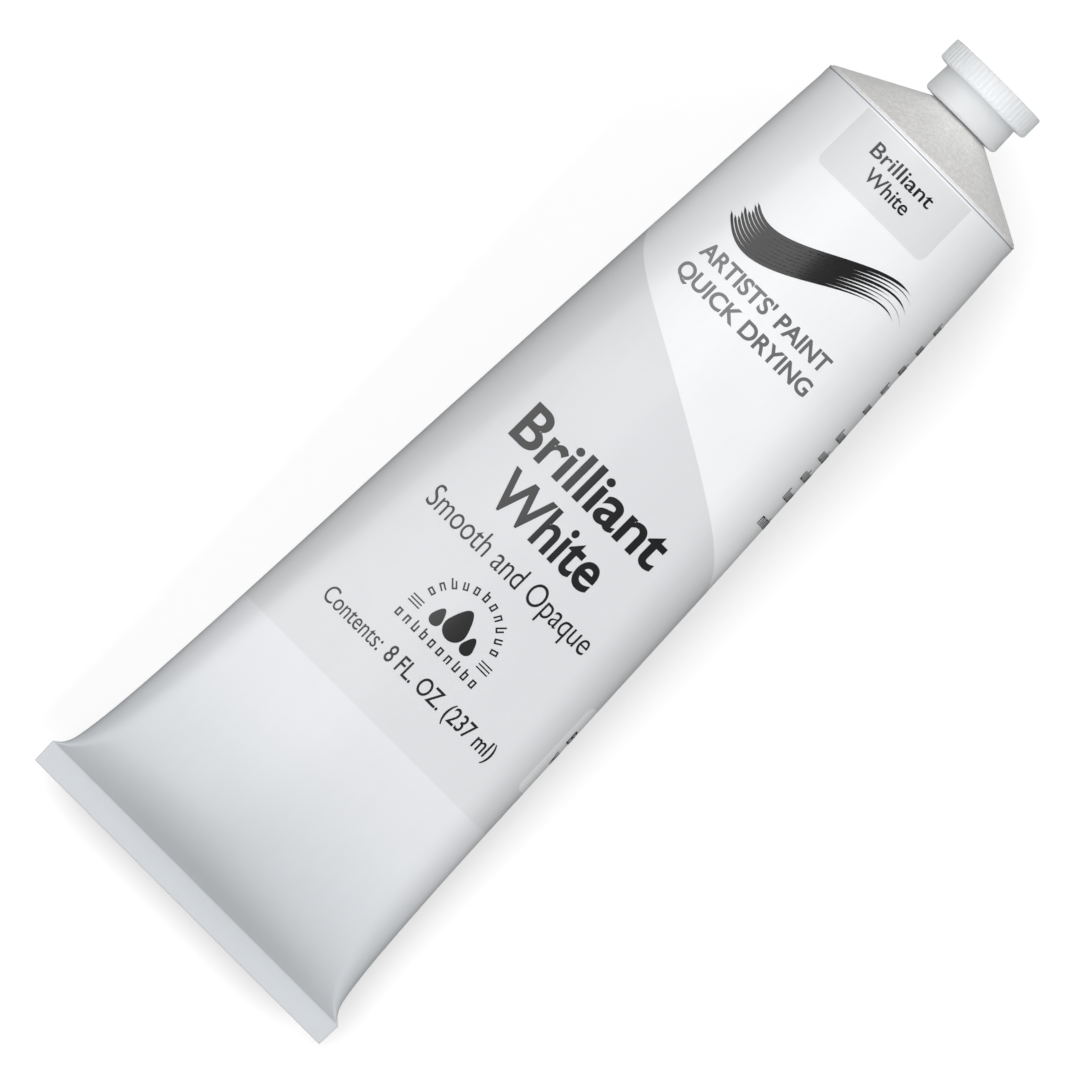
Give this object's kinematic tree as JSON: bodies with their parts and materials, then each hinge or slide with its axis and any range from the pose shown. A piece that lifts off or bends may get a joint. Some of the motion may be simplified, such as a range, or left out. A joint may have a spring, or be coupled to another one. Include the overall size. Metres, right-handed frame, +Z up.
{
  "type": "paint tube",
  "caption": "Collapsible laminate tube of artists' paint: conical shoulder, knurled screw cap on a threaded neck, flat heat-sealed tail.",
  "frame": {"origin": "on the table, in the middle of the footprint of the tube lying on its back", "axes": "+X along the tube towards the cap, nose up by 4.74 degrees as the tapering back of the sleeve lies on the table; +Z up, out of the printed front; +Y across the tail"},
  "size_m": [0.2238, 0.0776, 0.0501],
  "materials": {
    "printed_laminate": "satin-gloss white laminate with a printed label",
    "shoulder_plastic": "matte, slightly mottled warm light grey",
    "barrier_foil": "bright foil",
    "white_paint": "wet, smooth paste",
    "cap_plastic": "satin white",
    "liner_foam": "soft white foam"
  },
  "bodies": {
    "tube": {"sleeve": "printed_laminate", "shoulder_neck": "shoulder_plastic", "barrier_insert": "barrier_foil", "paint": "white_paint"},
    "liner": {"cap_liner": "liner_foam"},
    "cap": {"cap": "cap_plastic"}
  },
  "joints": [
    {"name": "cap_rise", "type": "slide", "parent": "tube", "child": "liner", "axis": [0.9966, 0, 0.0827], "range_m": [0, 0.0106]},
    {"name": "cap_turn", "type": "hinge", "parent": "liner", "child": "cap", "pos_m": [0.1052, 0, 0.0264], "axis": [0.9966, 0, 0.0827], "range_deg": [0, 1260]}
  ],
  "couplings": [
    {"joint": "cap_rise", "follows": "cap_turn", "m_per_rad": 0.00047746}
  ]
}
